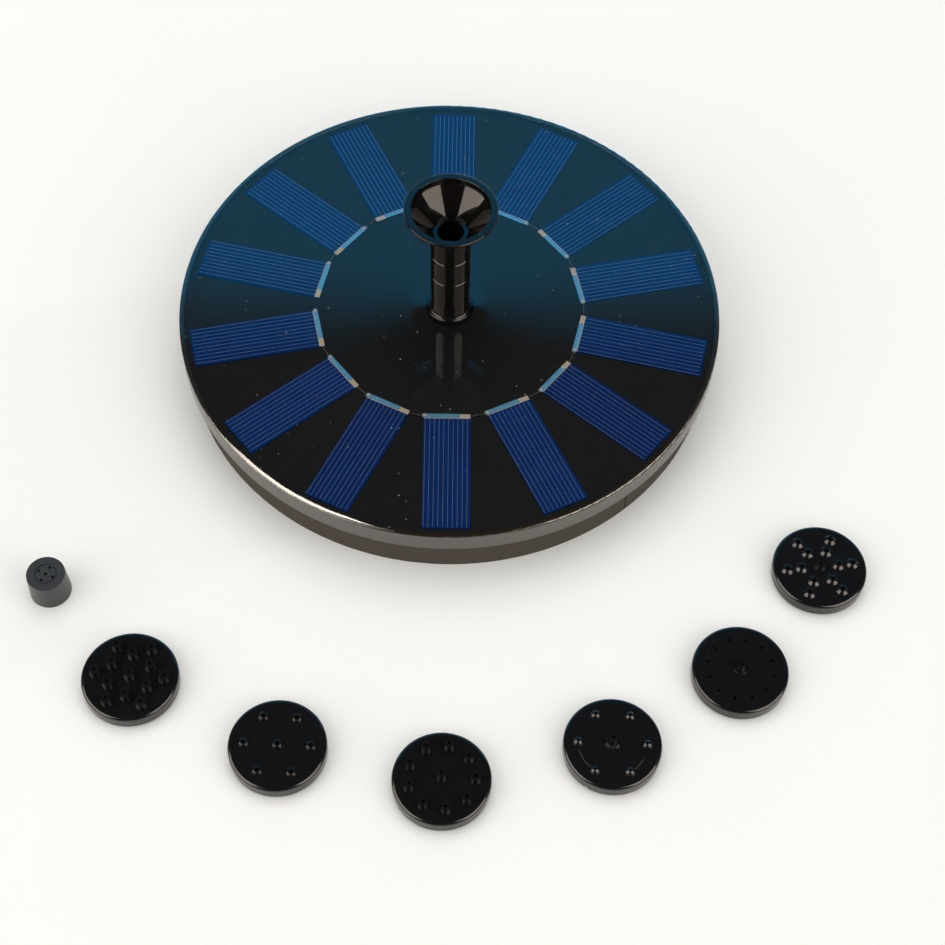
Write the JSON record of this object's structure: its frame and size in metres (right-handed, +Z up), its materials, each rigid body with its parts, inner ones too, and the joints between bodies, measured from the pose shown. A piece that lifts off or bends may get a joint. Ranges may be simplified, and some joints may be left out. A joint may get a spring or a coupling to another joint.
{
  "type": "floating solar fountain pump",
  "caption": "Round floating solar panel on a foam ring with a submersible centrifugal pump beneath, a riser funnel and loose spray heads.",
  "frame": {"origin": "on the disc's axis, at the flat middle of the strainer cover, on the surface that the fountain rests on", "axes": "+Z up along the riser, -Y towards the loose spray heads, +X to the right of them"},
  "size_m": [0.2343, 0.238, 0.0618],
  "materials": {
    "float_foam": "closed-cell foam, matt and grainy",
    "black_abs": "moulded, glossy",
    "board_black": "black solder mask",
    "clear_resin": "clear poured resin, glossy",
    "silicon_cell": "dark blue silicon",
    "tinned_ribbon": "tinned copper strip",
    "solder": "bright solder",
    "link_copper": "bare copper wire",
    "sealant": "glossy sealant bead",
    "lamination_steel": "stacked sheet steel",
    "bobbin_nylon": "moulded nylon",
    "coil_copper": "enamelled copper wire",
    "driver_laminate": "green glass-epoxy laminate",
    "component_epoxy": "moulded epoxy",
    "potting_epoxy": "poured epoxy",
    "lead_red": "pvc insulation",
    "lead_black": "pvc insulation",
    "shaft_ceramic": "ground white ceramic",
    "bush_polymer": "graphite-filled polymer",
    "ferrite": "sintered ferrite",
    "impeller_abs": "moulded white plastic",
    "gasket_rubber": "moulded rubber",
    "filter_foam": "open-cell foam",
    "screw_steel": "stainless steel",
    "head_abs": "moulded, glossy",
    "plug_abs": "moulded, satin"
  },
  "bodies": {
    "base": {"foam_float_ring": "float_foam", "panel_tray": "black_abs", "panel_board": "board_black", "resin_top": "clear_resin", "bus_ribbons": "tinned_ribbon", "solder_joints": "solder", "link_wires": "link_copper", "foot_collar": "sealant", "outlet_tube": "black_abs", "pump_body": "black_abs", "volute_cover": "black_abs", "stator_core": "lamination_steel", "coil_bobbins": "bobbin_nylon", "stator_coils": "coil_copper", "driver_board": "driver_laminate", "driver_components": "component_epoxy", "motor_potting": "potting_epoxy", "lead_positive": "lead_red", "lead_negative": "lead_black", "ceramic_shaft": "shaft_ceramic", "thrust_washers": "bush_polymer", "case_gasket": "gasket_rubber", "case_screws": "screw_steel", "volute_screws": "screw_steel", "solar_cell_01": "silicon_cell", "solar_cell_02": "silicon_cell", "solar_cell_03": "silicon_cell", "solar_cell_04": "silicon_cell", "solar_cell_05": "silicon_cell", "solar_cell_06": "silicon_cell", "solar_cell_07": "silicon_cell", "solar_cell_08": "silicon_cell", "solar_cell_09": "silicon_cell", "solar_cell_10": "silicon_cell", "solar_cell_11": "silicon_cell", "solar_cell_12": "silicon_cell", "solar_cell_13": "silicon_cell", "solar_cell_14": "silicon_cell"},
    "rotor": {"impeller": "impeller_abs", "rotor_magnet": "ferrite", "lower_bush": "bush_polymer", "upper_bush": "bush_polymer"},
    "strainer": {"strainer_cover": "black_abs", "filter_pad": "filter_foam"},
    "extension": {"extension_tube": "black_abs"},
    "funnel": {"funnel_adaptor": "black_abs"},
    "spray_head_13_tall": {"spray_head_13_tall": "head_abs"},
    "spray_head_7_dome": {"spray_head_7_dome": "head_abs"},
    "spray_head_10_tall": {"spray_head_10_tall": "head_abs"},
    "spray_head_ring_dome": {"spray_head_ring_dome": "head_abs"},
    "spray_head_12_slit": {"spray_head_12_slit": "head_abs"},
    "spray_head_13_low": {"spray_head_13_low": "head_abs"},
    "mini_spray_plug": {"mini_spray_plug": "plug_abs"}
  },
  "joints": [
    {"name": "rotor_spin", "type": "hinge", "parent": "base", "child": "rotor", "pos_m": [0, 0.0208, 0.0095], "axis": [0, 0, 1], "continuous": true},
    {"name": "strainer_twist", "type": "hinge", "parent": "base", "child": "strainer", "pos_m": [0, 0, 0.005], "axis": [0, 0, 1], "range_deg": [-20, 0]},
    {"name": "extension_lift", "type": "slide", "parent": "base", "child": "extension", "axis": [0, 0, 1], "range_m": [0, 0.03]},
    {"name": "funnel_lift", "type": "slide", "parent": "extension", "child": "funnel", "axis": [0, 0, 1], "range_m": [0, 0.03]},
    {"name": "head_13_tall_lift", "type": "slide", "parent": "base", "child": "spray_head_13_tall", "axis": [0, 0, 1], "range_m": [0, 0.05]},
    {"name": "head_7_dome_lift", "type": "slide", "parent": "base", "child": "spray_head_7_dome", "axis": [0, 0, 1], "range_m": [0, 0.05]},
    {"name": "head_10_tall_lift", "type": "slide", "parent": "base", "child": "spray_head_10_tall", "axis": [0, 0, 1], "range_m": [0, 0.05]},
    {"name": "head_ring_dome_lift", "type": "slide", "parent": "base", "child": "spray_head_ring_dome", "axis": [0, 0, 1], "range_m": [0, 0.05]},
    {"name": "head_12_slit_lift", "type": "slide", "parent": "base", "child": "spray_head_12_slit", "axis": [0, 0, 1], "range_m": [0, 0.05]},
    {"name": "head_13_low_lift", "type": "slide", "parent": "base", "child": "spray_head_13_low", "axis": [0, 0, 1], "range_m": [0, 0.05]},
    {"name": "mini_plug_lift", "type": "slide", "parent": "base", "child": "mini_spray_plug", "axis": [0, 0, 1], "range_m": [0, 0.05]}
  ]
}
